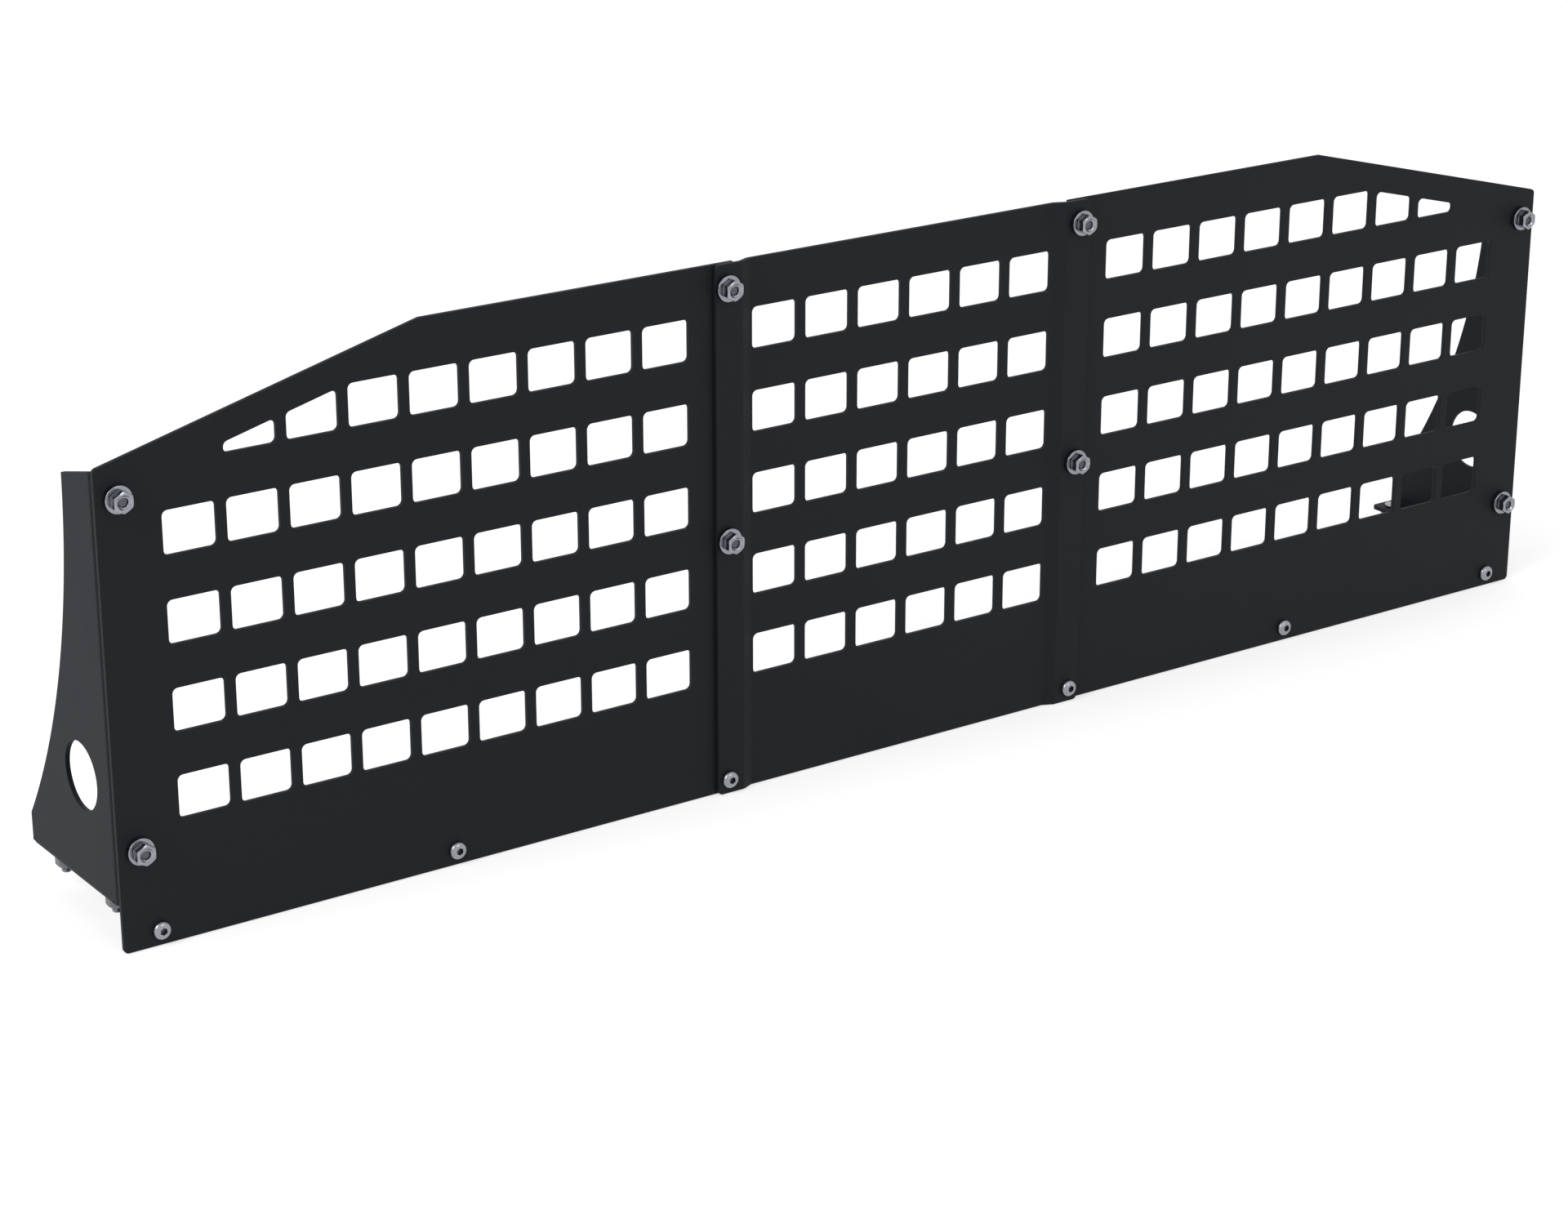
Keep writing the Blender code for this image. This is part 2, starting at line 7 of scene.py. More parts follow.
import bmesh
import bpy
from mathutils import Matrix, Vector


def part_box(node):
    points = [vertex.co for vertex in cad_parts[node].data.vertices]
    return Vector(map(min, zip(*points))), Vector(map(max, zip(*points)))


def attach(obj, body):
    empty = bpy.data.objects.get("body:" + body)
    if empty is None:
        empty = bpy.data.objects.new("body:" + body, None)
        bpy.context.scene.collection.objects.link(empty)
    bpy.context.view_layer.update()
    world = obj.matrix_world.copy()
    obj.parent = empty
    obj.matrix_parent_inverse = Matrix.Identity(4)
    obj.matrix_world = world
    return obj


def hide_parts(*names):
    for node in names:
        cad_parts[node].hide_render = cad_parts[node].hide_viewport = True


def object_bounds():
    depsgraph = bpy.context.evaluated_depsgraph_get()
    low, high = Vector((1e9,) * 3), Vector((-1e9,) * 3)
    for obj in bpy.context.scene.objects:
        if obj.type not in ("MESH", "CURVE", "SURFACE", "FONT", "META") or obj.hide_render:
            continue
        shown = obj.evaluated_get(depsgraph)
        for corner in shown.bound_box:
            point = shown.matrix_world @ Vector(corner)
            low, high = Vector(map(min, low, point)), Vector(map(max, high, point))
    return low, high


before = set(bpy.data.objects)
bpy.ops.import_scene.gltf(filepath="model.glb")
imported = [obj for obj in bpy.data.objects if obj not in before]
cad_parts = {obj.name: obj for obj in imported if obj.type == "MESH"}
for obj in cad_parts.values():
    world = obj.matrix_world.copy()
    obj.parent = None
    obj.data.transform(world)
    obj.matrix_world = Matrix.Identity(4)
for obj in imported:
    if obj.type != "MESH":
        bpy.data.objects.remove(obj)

cad_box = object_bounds()
MM = 0.001

# Sizes that the frame gives
panel_low, panel_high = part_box("left_panel")
center_low, center_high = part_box("center_panel")
bracket_low, bracket_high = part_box("left_bracket")
HALF_LENGTH = -panel_low.x
SHEET = panel_high.y - panel_low.y
BOTTOM = panel_low.z
LEVEL_TOP = panel_high.z
SIDE_INNER = -panel_high.x
LAP_EDGE = center_high.x
LAP_FRONT = center_low.y
SEAT = bracket_low.y
BRACKET_HEIGHT = bracket_high.z
BRACKET_DEPTH = bracket_high.y
FLANGE_WIDTH = bracket_high.x - bracket_low.x

# Panel outline and its webbing windows
TOP_FALL = 0.0508                 # drop of the top edge from its level middle to both ends
LEVEL_TOP_LENGTH = 0.6640         # of all three panels together
PANEL_CORNER = 0.0030
WINDOW_PITCH_X = 0.0381
WINDOW_PITCH_Z = 0.0508
WINDOW_BAR = 0.00635              # sheet between two windows of a row
WINDOW_BAND = 0.0254              # sheet between two rows
WINDOW_CORNER = 0.0032
FIRST_ROW_HEIGHT = 0.0846         # middle of the lowest row above the bottom edge
TOP_BORDER = 0.0180               # least sheet above a window
END_BORDER = 0.0060               # least sheet between a window and a flange or joint
LOWEST_WINDOW = 0.0050            # shorter trimmed windows are left out

# Step in the centre panel
CENTER_WIDTH = 0.2260             # flat stretch between the two steps
STEP_WIDTH = 0.0072
STEP_SCORES = 16                  # strips that the step is folded in

# Folded end brackets
FOLD_RADIUS = 0.0005              # inside a fold
FOLD_SCORES = 8
BRACKET_TOP_DEPTH = 0.0379
BRACKET_TOP_FALL = 0.0091
REAR_ARC_RADIUS = 0.3937          # hollow rear edge
TOE_HEIGHT = 0.0197               # where the hollow edge ends
WALL_BOTTOM = 0.0024
BRACKET_CORNER = 0.0015
FOOT_WIDTH = 0.0236
FOOT_FRONT = 0.0070
FOOT_REAR_GAP = 0.0020
FOOT_CORNER = 0.0030
RELIEF = 0.0005                   # slit at both ends of the foot's fold
WALL_HOLE = 0.0400                # diameter of the hole in the side wall
WALL_HOLE_DEPTH = 0.0390          # its middle, behind the panels and above the foot
WALL_HOLE_HEIGHT = 0.0672

# Holes, and where their hardware is
HOLE_RADIUS = 0.003575            # clearance round a quarter inch bolt, in sheets and washers
JOINT_BOLTS = ("joint_upper", "joint_middle")
END_BOLTS = ("end_upper", "end_lower")
LOWER_SCREWS = ("inner_lower", "middle_lower", "outer_lower")
FOOT_BOLTS = ("front_foot", "rear_foot")

# Quarter inch hardware
BOLT_RADIUS = 0.003175
BOLT_HEAD = 0.0040
PANEL_BOLT_THREAD = 0.0076        # threaded length
SCREW_THREAD = 0.0064
FOOT_BOLT_THREAD = 0.0114
HEX_WIDTH = 0.0111                # across flats
HEX_CORNER_TRIM = 0.00014         # rounding off each corner of a hexagon
FACE_CIRCLE = 0.0094              # where the chamfer of a nut or head meets its face
BEARING_CIRCLE = 0.0107           # the same on a nut's bearing face, which is hardly chamfered
LOCK_END_CIRCLE = 0.0110          # the same on the end of a lock nut's hexagon
CHAMFER_SLOPE = math.tan(math.radians(30))
THREAD_PITCH = 0.00127
THREAD_DEPTH = 0.00072
THREAD_RINGS = 10                 # rings of points in one turn of thread
THREAD_LEAD = 0.0001              # plain bore at both ends of a nut's thread
NUT_BORE = 0.003475
BORE_CHAMFER = 0.0008
BUTTON_HEIGHT = 0.0034
BUTTON_RIM = 0.0007
SOCKET_WIDTH = 0.0040
SOCKET_DEPTH = 0.0022
SOCKET_LAND = 0.0003
FOOT_HEAD_HEIGHT = 0.0014
FOOT_HEAD_CHAMFER = 0.0004
COLLAR_HEIGHT = 0.0012            # crimped collar on the end of a lock nut
COLLAR_RADIUS = 0.0052
WASHER_ROUND = 0.0004             # edge rolled over by the die, on the face that shows

# How finely shapes are drawn
CORNER_STEPS = 5
CORNER_SHARE = 0.48               # most of an edge that one rounded corner may take
ARC_STEPS = 48
HOLE_SIDES = 24
WALL_HOLE_SIDES = 72
RING_SIDES = 48                   # points round a nut, head, washer or screw
DOME_STEPS = 10
EDGE_ROUND = 0.0004               # softened edge of cut and coated sheet
EDGE_ROUND_STEPS = 1              # points between its two ends
METAL_ROUND = 0.0003              # softened edge of hardware
ROUND_STEPS = 4
SMOOTH_ANGLE = math.radians(32)   # sharper edges of hardware stay crisp
FLAT_WEIGHT = 100                 # how far flat sheet outweighs its softened edges in the shading
WELD = 1e-6                       # points nearer than this are one
SCORE_SNAP = 1e-7                 # points nearer than this to a score lie on it

SIDES = {"left": -1, "right": 1}
STEP_START = CENTER_WIDTH / 2
STEP_END = STEP_START + STEP_WIDTH
STEP_OFFSET = -SHEET - LAP_FRONT
FOLD_OUTER = FOLD_RADIUS + SHEET
FOLD_LENGTH = (FOLD_OUTER - SHEET / 2) * math.radians(90)
BEND_DEDUCTION = 2 * FOLD_OUTER - FOLD_LENGTH   # what a fold saves in the length of the flat blank
FIRST_SCORE = STEP_START - FOLD_OUTER / 4       # the scores reach past both bends of the step
LAST_SCORE = STEP_END + FOLD_OUTER / 2
FOOT_REAR = BRACKET_DEPTH - FOOT_REAR_GAP


# Outlines

def rounded(corners):
    """The closed outline through (x, y, radius) corners, with each corner drawn as an arc."""
    points = []
    for index, (x, y, radius) in enumerate(corners):
        here = Vector((x, y))
        back = Vector(corners[index - 1][:2]) - here
        ahead = Vector(corners[(index + 1) % len(corners)][:2]) - here
        half = back.angle(ahead) / 2
        reach = min(radius / math.tan(half), CORNER_SHARE * back.length, CORNER_SHARE * ahead.length)
        if reach <= 0:
            points.append((x, y))
            continue
        centre = here + (back.normalized() + ahead.normalized()).normalized() * (reach / math.cos(half))
        start = here + back.normalized() * reach - centre
        end = here + ahead.normalized() * reach - centre
        sweep = math.atan2(start.x * end.y - start.y * end.x, start.dot(end))
        for step in range(CORNER_STEPS + 1):
            points.append(tuple(centre + Matrix.Rotation(sweep * step / CORNER_STEPS, 2) @ start))
    return points


def circle(x, y, radius, sides=HOLE_SIDES):
    """A circle as a closed outline."""
    return [(x + radius * math.cos(math.tau * k / sides), y + radius * math.sin(math.tau * k / sides))
            for k in range(sides)]


def top_edge(x):
    """Height of the panels' top edge: level in the middle and falling to both ends."""
    level_end = LEVEL_TOP_LENGTH / 2
    return LEVEL_TOP - max(0, abs(x) - level_end) * TOP_FALL / (HALF_LENGTH - level_end)


def window(x, z):
    """The window centred on (x, z), with its top trimmed along the slanted edge, or None."""
    outward = math.copysign((WINDOW_PITCH_X - WINDOW_BAR) / 2, x)
    floor = z - (WINDOW_PITCH_Z - WINDOW_BAND) / 2
    ceiling = z + (WINDOW_PITCH_Z - WINDOW_BAND) / 2
    inner_top = min(ceiling, top_edge(x - outward) - TOP_BORDER)
    outer_top = min(ceiling, top_edge(x + outward) - TOP_BORDER)
    if min(inner_top, outer_top) - floor < LOWEST_WINDOW:
        return None
    return rounded([(x - outward, floor, WINDOW_CORNER), (x + outward, floor, WINDOW_CORNER),
                    (x + outward, outer_top, WINDOW_CORNER), (x - outward, inner_top, WINDOW_CORNER)])


def windows(nearest, farthest):
    """Every window of the shared grid between two X positions."""
    half = (WINDOW_PITCH_X - WINDOW_BAR) / 2
    columns = math.ceil(HALF_LENGTH / WINDOW_PITCH_X)
    rows = math.ceil((LEVEL_TOP - BOTTOM) / WINDOW_PITCH_Z)
    middles = [(column + 0.5) * WINDOW_PITCH_X for column in range(-columns, columns)]
    found = [window(x, BOTTOM + FIRST_ROW_HEIGHT + row * WINDOW_PITCH_Z)
             for x in middles if x - half > nearest and x + half < farthest for row in range(rows)]
    return [loop for loop in found if loop]


def middle(node):
    """The middle of a CAD node's box."""
    low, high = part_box(node)
    return (low + high) / 2


def bolt_places(side_name, labels, kind):
    """(x, z) of the middles of a side's bolts or screws."""
    places = [middle(f"{side_name}_{label}_{kind}") for label in labels]
    return [(place.x, place.z) for place in places]


# Sheet metal

def cut_sheet(name, loops):
    """A flat sheet in the XY plane, cut by an outline and its holes, with softened edges."""
    curve = bpy.data.curves.new(name, "CURVE")
    curve.dimensions = "2D"
    curve.fill_mode = "BOTH"
    curve.bevel_depth = EDGE_ROUND
    curve.bevel_resolution = EDGE_ROUND_STEPS
    curve.offset = -EDGE_ROUND
    curve.extrude = SHEET / 2 - EDGE_ROUND
    for loop in loops:
        spline = curve.splines.new("POLY")
        spline.points.add(len(loop) - 1)
        spline.use_cyclic_u = True
        for point, (x, y) in zip(spline.points, loop):
            point.co = (x, y, 0, 1)
    drawn = bpy.data.objects.new(name, curve)
    bpy.context.scene.collection.objects.link(drawn)
    bpy.context.view_layer.update()
    evaluated = drawn.evaluated_get(bpy.context.evaluated_depsgraph_get())
    mesh = bpy.data.meshes.new_from_object(evaluated)
    bpy.data.objects.remove(drawn)
    bpy.data.curves.remove(curve)
    work = bmesh.new()
    work.from_mesh(mesh)
    bmesh.ops.remove_doubles(work, verts=work.verts, dist=WELD)
    bpy.data.meshes.remove(mesh)
    return work


def score(work, direction, places):
    """Cuts lines across a sheet at places along a direction, so that it can fold there."""
    for place in places:
        geometry = work.verts[:] + work.edges[:] + work.faces[:]
        bmesh.ops.bisect_plane(work, geom=geometry, dist=SCORE_SNAP, plane_co=direction * place,
                               plane_no=direction)


def sheet_piece(node, work, shape, material):
    """Moves each point of a flat sheet to its place on the folded piece, which stands for a CAD node."""
    for vert in work.verts:
        vert.co = shape(vert.co)
    bmesh.ops.recalc_face_normals(work, faces=work.faces)
    mesh = bpy.data.meshes.new(node + "_coated")
    work.to_mesh(mesh)
    work.free()
    mesh.shade_smooth()
    piece = bpy.data.objects.new(node + "_coated", mesh)
    normals = piece.modifiers.new("flat faces", "WEIGHTED_NORMAL")
    normals.weight = FLAT_WEIGHT
    dress(piece, node, material)


def dress(piece, node, material):
    """Shows a piece in place of its CAD node; a mesh that has its finishes already keeps them."""
    if not piece.data.materials:
        piece.data.materials.append(material)
    bpy.context.scene.collection.objects.link(piece)
    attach(piece, "root")
    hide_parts(node)


def upright(point, forward=0.0):
    """A point of a flat sheet that is stood up with its rear face at Y = 0, or some way forward of it."""
    return Vector((point.x, -SHEET / 2 - point.z - forward, point.y))


def outer_panel(side_name, side, material):
    """A flat windowed sheet from behind the centre panel to the end of the rack."""
    side_top = LEVEL_TOP - TOP_FALL
    edge = rounded([(side * SIDE_INNER, BOTTOM, 0), (side * HALF_LENGTH, BOTTOM, PANEL_CORNER),
                    (side * HALF_LENGTH, side_top, PANEL_CORNER),
                    (side * LEVEL_TOP_LENGTH / 2, LEVEL_TOP, PANEL_CORNER),
                    (side * SIDE_INNER, LEVEL_TOP, 0)])
    clear = sorted((side * (LAP_EDGE + END_BORDER), side * (HALF_LENGTH - FLANGE_WIDTH - END_BORDER)))
    places = bolt_places(side_name, JOINT_BOLTS + END_BOLTS, "bolt")
    places += bolt_places(side_name, LOWER_SCREWS, "screw")
    holes = [circle(x, z, HOLE_RADIUS) for x, z in places]
    flat = cut_sheet(side_name + "_panel", [edge] + windows(*clear) + holes)
    sheet_piece(side_name + "_panel", flat, upright, material)


def step_profile(distance, radius_in, radius_out):
    """How far a step has come forward at a distance from its start, with both of its bends rounded."""
    lean = math.atan2(STEP_OFFSET, STEP_WIDTH)
    slope = STEP_OFFSET / STEP_WIDTH
    start = radius_in * math.tan(lean / 2)
    end = radius_out * math.tan(lean / 2)
    if distance < start:
        return slope * max(0, distance + start) ** 2 / (4 * start)
    if distance > STEP_WIDTH - end:
        return STEP_OFFSET - slope * max(0, STEP_WIDTH + end - distance) ** 2 / (4 * end)
    return slope * distance


def stepped(point):
    """A point of the flat centre panel moved forward where the sides step over their neighbours."""
    behind = 0.5 - point.z / SHEET
    shift = SHEET * math.tan(math.atan2(STEP_OFFSET, STEP_WIDTH) / 2) * behind
    inner_bend = FOLD_RADIUS + SHEET * behind
    outer_bend = FOLD_RADIUS + SHEET * (1 - behind)
    forward = step_profile(abs(point.x) - STEP_START - shift, inner_bend, outer_bend)
    return upright(point, forward)


def center_panel(material):
    """The middle sheet, with both sides stepped forward to lap over the outer panels."""
    edge = rounded([(-LAP_EDGE, BOTTOM, PANEL_CORNER), (LAP_EDGE, BOTTOM, PANEL_CORNER),
                    (LAP_EDGE, LEVEL_TOP, PANEL_CORNER), (-LAP_EDGE, LEVEL_TOP, PANEL_CORNER)])
    holes = []
    for side_name in SIDES:
        places = bolt_places(side_name, JOINT_BOLTS, "bolt")
        places += bolt_places(side_name, LOWER_SCREWS[:1], "screw")
        holes += [circle(x, z, HOLE_RADIUS) for x, z in places]
    flat = cut_sheet("center_panel", [edge] + windows(-STEP_START, STEP_START) + holes)
    scores = [FIRST_SCORE + (LAST_SCORE - FIRST_SCORE) * k / STEP_SCORES for k in range(STEP_SCORES + 1)]
    score(flat, Vector((1, 0, 0)), scores + [-x for x in scores])
    sheet_piece("center_panel", flat, stepped, material)


def hollow_edge(start, end, radius):
    """Points of the arc from start to end that bows into the wall."""
    chord = Vector(end) - Vector(start)
    sweep = 2 * math.asin(chord.length / 2 / radius)
    right = Vector((chord.y, -chord.x)).normalized()
    centre = (Vector(start) + Vector(end)) / 2 + right * radius * math.cos(sweep / 2)
    spoke = Vector(start) - centre
    turns = [Matrix.Rotation(-sweep * step / ARC_STEPS, 2) for step in range(ARC_STEPS + 1)]
    return [tuple(centre + turn @ spoke) for turn in turns]


def bracket_blank(side_name):
    """The bracket before folding, as (depth, height): the wall, its flange in front and its foot below."""
    flange_edge = SEAT + BEND_DEDUCTION - FLANGE_WIDTH
    foot_edge = BEND_DEDUCTION - FOOT_WIDTH
    slit_top = FOLD_OUTER + RELIEF
    top_rear = (BRACKET_TOP_DEPTH, BRACKET_HEIGHT - BRACKET_TOP_FALL)
    hollow = hollow_edge((BRACKET_DEPTH, TOE_HEIGHT), top_rear, REAR_ARC_RADIUS)
    rear = [(y, z, 0) for y, z in hollow]
    front = [(flange_edge, WALL_BOTTOM, BRACKET_CORNER), (FOOT_FRONT - RELIEF, WALL_BOTTOM, 0),
             (FOOT_FRONT - RELIEF, slit_top, 0), (FOOT_FRONT, slit_top, 0)]
    foot = [(FOOT_FRONT, foot_edge, FOOT_CORNER), (FOOT_REAR, foot_edge, FOOT_CORNER)]
    toe = [(FOOT_REAR, slit_top, 0), (FOOT_REAR + RELIEF, slit_top, 0),
           (FOOT_REAR + RELIEF, WALL_BOTTOM, 0), (BRACKET_DEPTH, WALL_BOTTOM, BRACKET_CORNER)]
    top = [(SEAT + FOLD_OUTER, BRACKET_HEIGHT, 0), (flange_edge, BRACKET_HEIGHT, BRACKET_CORNER)]
    holes = [circle(WALL_HOLE_DEPTH, WALL_HOLE_HEIGHT, WALL_HOLE / 2, WALL_HOLE_SIDES)]
    for x, z in bolt_places(side_name, END_BOLTS, "bolt"):
        inset = HALF_LENGTH - abs(x)
        holes.append(circle(SEAT + BEND_DEDUCTION - inset, z, HOLE_RADIUS))
    for label in FOOT_BOLTS:
        place = middle(f"{side_name}_{label}_washer")
        inset = HALF_LENGTH - abs(place.x)
        holes.append(circle(place.y, BEND_DEDUCTION - inset, HOLE_RADIUS))
    return [rounded(front + foot + toe + rear + top)] + holes


def folded(point, side):
    """A point of the flat bracket moved round the fold of its flange or of its foot."""
    depth = SHEET / 2 - point.z
    along, up = point.x, point.y
    radius = FOLD_OUTER - depth
    bend_x = HALF_LENGTH - FOLD_OUTER
    past_front = SEAT + FOLD_OUTER - along
    past_foot = FOLD_OUTER - up
    in_foot = FOOT_FRONT - RELIEF / 2 < along < FOOT_REAR + RELIEF / 2
    past = past_foot if in_foot else past_front
    if past <= 0:
        return Vector((side * (HALF_LENGTH - depth), along, up))
    turn = min(past / FOLD_LENGTH, 1) * math.radians(90)
    across = side * (bend_x + radius * math.cos(turn) - max(0, past - FOLD_LENGTH))
    lower = FOLD_OUTER - radius * math.sin(turn)
    return Vector((across, along, lower)) if in_foot else Vector((across, SEAT + lower, up))


def bracket(side_name, side, material):
    """One sheet with a flange folded in behind the panel and a foot folded in at the base."""
    flat = cut_sheet(side_name + "_bracket", bracket_blank(side_name))
    steps = [FOLD_LENGTH * k / FOLD_SCORES for k in range(FOLD_SCORES + 1)]
    score(flat, Vector((1, 0, 0)), [SEAT + FOLD_OUTER - step for step in steps])
    score(flat, Vector((0, 1, 0)), [FOLD_OUTER - step for step in steps])
    sheet_piece(side_name + "_bracket", flat, lambda p: folded(p, side), material)


# Hardware: each lies along Z with its bearing face at Z = 0

def round_ring(radius, z):
    """A circle of points round the axis."""
    return [(x, y, z) for x, y in circle(0, 0, radius, RING_SIDES)]


def hex_ring(width, height, trim=HEX_CORNER_TRIM):
    """A hexagon with flats to either side; height is a function of the distance from its middle."""
    points = []
    for k in range(RING_SIDES):
        angle = math.tau * k / RING_SIDES
        off_flat = (angle + math.radians(30)) % math.radians(60) - math.radians(30)
        radius = min(width / 2 / math.cos(off_flat), width / math.sqrt(3) - trim)
        points.append((radius * math.cos(angle), radius * math.sin(angle), height(radius)))
    return points


def loft(name, rings, bored):
    """A closed mesh through rings of equally many points; a bored one joins its last ring to its first."""
    work = bmesh.new()
    rows = [[work.verts.new(point) for point in ring] for ring in rings]
    pairs = list(zip(rows, rows[1:]))
    if bored:
        pairs.append((rows[-1], rows[0]))
    else:
        work.faces.new(rows[0])
        work.faces.new(rows[-1])
    for row, following in pairs:
        for k in range(RING_SIDES):
            work.faces.new((row[k - 1], row[k], following[k], following[k - 1]))
    bmesh.ops.recalc_face_normals(work, faces=work.faces)
    mesh = bpy.data.meshes.new(name)
    work.to_mesh(mesh)
    work.free()
    mesh.shade_smooth()
    mesh.set_sharp_from_angle(angle=SMOOTH_ANGLE)
    return mesh


def edge_arc(radius, z, outward, upward, size=METAL_ROUND):
    """Rings that round an edge of a turned piece at (radius, z), from its side to its face."""
    rings = []
    for step in range(ROUND_STEPS + 1):
        angle = math.radians(90) * step / ROUND_STEPS
        rings.append(round_ring(radius - outward * size * (1 - math.cos(angle)),
                                z - upward * size * (1 - math.sin(angle))))
    return rings


def washer_mesh(outer, thickness):
    """A thick flat washer, stamped and tumbled: every edge is a little round."""
    outside = edge_arc(outer, 0, 1, -1)[::-1] + edge_arc(outer, thickness, 1, 1, WASHER_ROUND)
    inside = edge_arc(HOLE_RADIUS, thickness, -1, 1)[::-1] + edge_arc(HOLE_RADIUS, 0, -1, -1)
    return loft("flat_washer", outside + inside, bored=True)


def chamfer(radius, face_circle):
    """How far a conical chamfer has fallen below a hexagon's face at a distance from its middle."""
    return max(0, radius - face_circle / 2) * CHAMFER_SLOPE


def hex_sides(height, end_circle=FACE_CIRCLE):
    """Rings up the side of a nut, from its bearing face to its chamfered end."""
    return [round_ring(BEARING_CIRCLE / 2, 0),
            hex_ring(HEX_WIDTH, lambda radius: chamfer(radius, BEARING_CIRCLE)),
            hex_ring(HEX_WIDTH, lambda radius: height - chamfer(radius, end_circle)),
            round_ring(end_circle / 2, height)]


def thread(start, end, widest, limit):
    """Rings of a screw thread between two heights; limit gives the greatest radius at a height."""
    count = max(2, round((end - start) / THREAD_PITCH * THREAD_RINGS))
    rings = []
    for step in range(count + 1):
        z = start + (end - start) * step / count
        ring = []
        for k, (x, y) in enumerate(circle(0, 0, 1, RING_SIDES)):
            turn = (z / THREAD_PITCH - k / RING_SIDES) % 1
            radius = min(widest - THREAD_DEPTH * abs(2 * turn - 1), limit(z))
            ring.append((x * radius, y * radius, z))
        rings.append(ring)
    return rings


def threaded_shank(length, threaded):
    """Rings of a shank up from Z = 0, threaded over its last stretch up to a chamfered end."""
    plain = [round_ring(BOLT_RADIUS, 0), round_ring(BOLT_RADIUS, length - threaded)]
    root = BOLT_RADIUS - THREAD_DEPTH
    return plain + thread(length - threaded, length, BOLT_RADIUS, lambda z: root + length - z)


def nut_mesh(name, height, bolt_end):
    """A hex nut with chamfered faces, whose thread shows above the bolt's end, at the height bolt_end."""
    inside = [round_ring(NUT_BORE + BORE_CHAMFER, height), round_ring(NUT_BORE, height - BORE_CHAMFER)]
    if bolt_end < height:
        turns = thread(bolt_end, height - BORE_CHAMFER - THREAD_LEAD, NUT_BORE, lambda z: NUT_BORE)
        inside += turns[::-1] + [round_ring(NUT_BORE, bolt_end - THREAD_LEAD)]
    inside += [round_ring(NUT_BORE, BORE_CHAMFER), round_ring(NUT_BORE + BORE_CHAMFER, 0)]
    return loft(name, hex_sides(height) + inside, bored=True)


def lock_nut_mesh(height):
    """A lock nut: a tall hexagon with a rounded collar crimped round the bolt on its end."""
    end = height + COLLAR_HEIGHT
    collar = edge_arc(COLLAR_RADIUS, end, 1, 1, COLLAR_HEIGHT)
    inside = [round_ring(NUT_BORE, end), round_ring(NUT_BORE, BORE_CHAMFER),
              round_ring(NUT_BORE + BORE_CHAMFER, 0)]
    return loft("lock_nut", hex_sides(height, LOCK_END_CIRCLE) + collar + inside, bored=True)


def hex_bolt_mesh(length):
    """A hex head below Z = 0 and a shank, threaded over its last stretch; its end, sunk in the nut, takes a
    second material with painted shade.
    """
    head = [round_ring(FACE_CIRCLE / 2, -BOLT_HEAD),
            hex_ring(HEX_WIDTH, lambda radius: chamfer(radius, FACE_CIRCLE) - BOLT_HEAD),
            hex_ring(HEX_WIDTH, lambda radius: 0)]
    mesh = loft("panel_bolt", head + threaded_shank(length, PANEL_BOLT_THREAD), bored=False)
    # faces of the bolt's end, sunk in its nut, take the second material, which paints shade on them
    for face in mesh.polygons:
        face.material_index = int(face.center.z > length - THREAD_DEPTH)
    return mesh


def foot_bolt_mesh(length, rim):
    """A low round head below Z = 0, with a softened rim, and a long threaded shank."""
    face = edge_arc(rim, -FOOT_HEAD_HEIGHT, 1, -1, FOOT_HEAD_CHAMFER)[::-1]
    head = face + edge_arc(rim, 0, 1, 1)
    return loft("foot_bolt", head + threaded_shank(length, FOOT_BOLT_THREAD), bored=False)


def screw_mesh(length, rim):
    """A domed button head below Z = 0 and a threaded shank; the hex socket takes a second material with
    painted shade.
    """
    land = SOCKET_WIDTH / math.sqrt(3) + SOCKET_LAND
    dome = BUTTON_HEIGHT - BUTTON_RIM
    socket = [hex_ring(SOCKET_WIDTH / 2, lambda radius: SOCKET_DEPTH - BUTTON_HEIGHT, 0),
              hex_ring(SOCKET_WIDTH, lambda radius: SOCKET_DEPTH - BUTTON_HEIGHT, 0),
              hex_ring(SOCKET_WIDTH, lambda radius: -BUTTON_HEIGHT, 0)]
    head = [round_ring(land, -BUTTON_HEIGHT)]
    for step in range(1, DOME_STEPS + 1):
        angle = math.radians(90) * step / DOME_STEPS
        head.append(round_ring(land + (rim - land) * math.sin(angle), -BUTTON_RIM - dome * math.cos(angle)))
    head += edge_arc(rim, 0, 1, 1)
    mesh = loft("button_screw", socket + head + threaded_shank(length, SCREW_THREAD), bored=False)
    # faces inside the hex socket take the second material, which paints the shade in the recess
    for face in mesh.polygons:
        in_head = WELD - BUTTON_HEIGHT < face.center.z < 0
        face.material_index = int(in_head and face.center.xy.length < land - SOCKET_LAND)
    return mesh


FACING_FRONT = Matrix.Rotation(math.radians(90), 4, "X")
FACING_REAR = Matrix.Rotation(math.radians(-90), 4, "X")
FACING_DOWN = Matrix.Rotation(math.radians(180), 4, "X")


def fasten(node, mesh, turn, material, head=0.0):
    """Puts hardware on its CAD node's axis, with its bearing face a head's height into the node's box."""
    low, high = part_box(node)
    place = middle(node)
    if turn == FACING_DOWN:
        place.z = high.z - head
    elif turn == FACING_FRONT:
        place.y = high.y - head
    else:
        place.y = low.y + head
    piece = bpy.data.objects.new(node + "_plated", mesh)
    piece.matrix_world = Matrix.Translation(place) @ turn
    dress(piece, node, material)


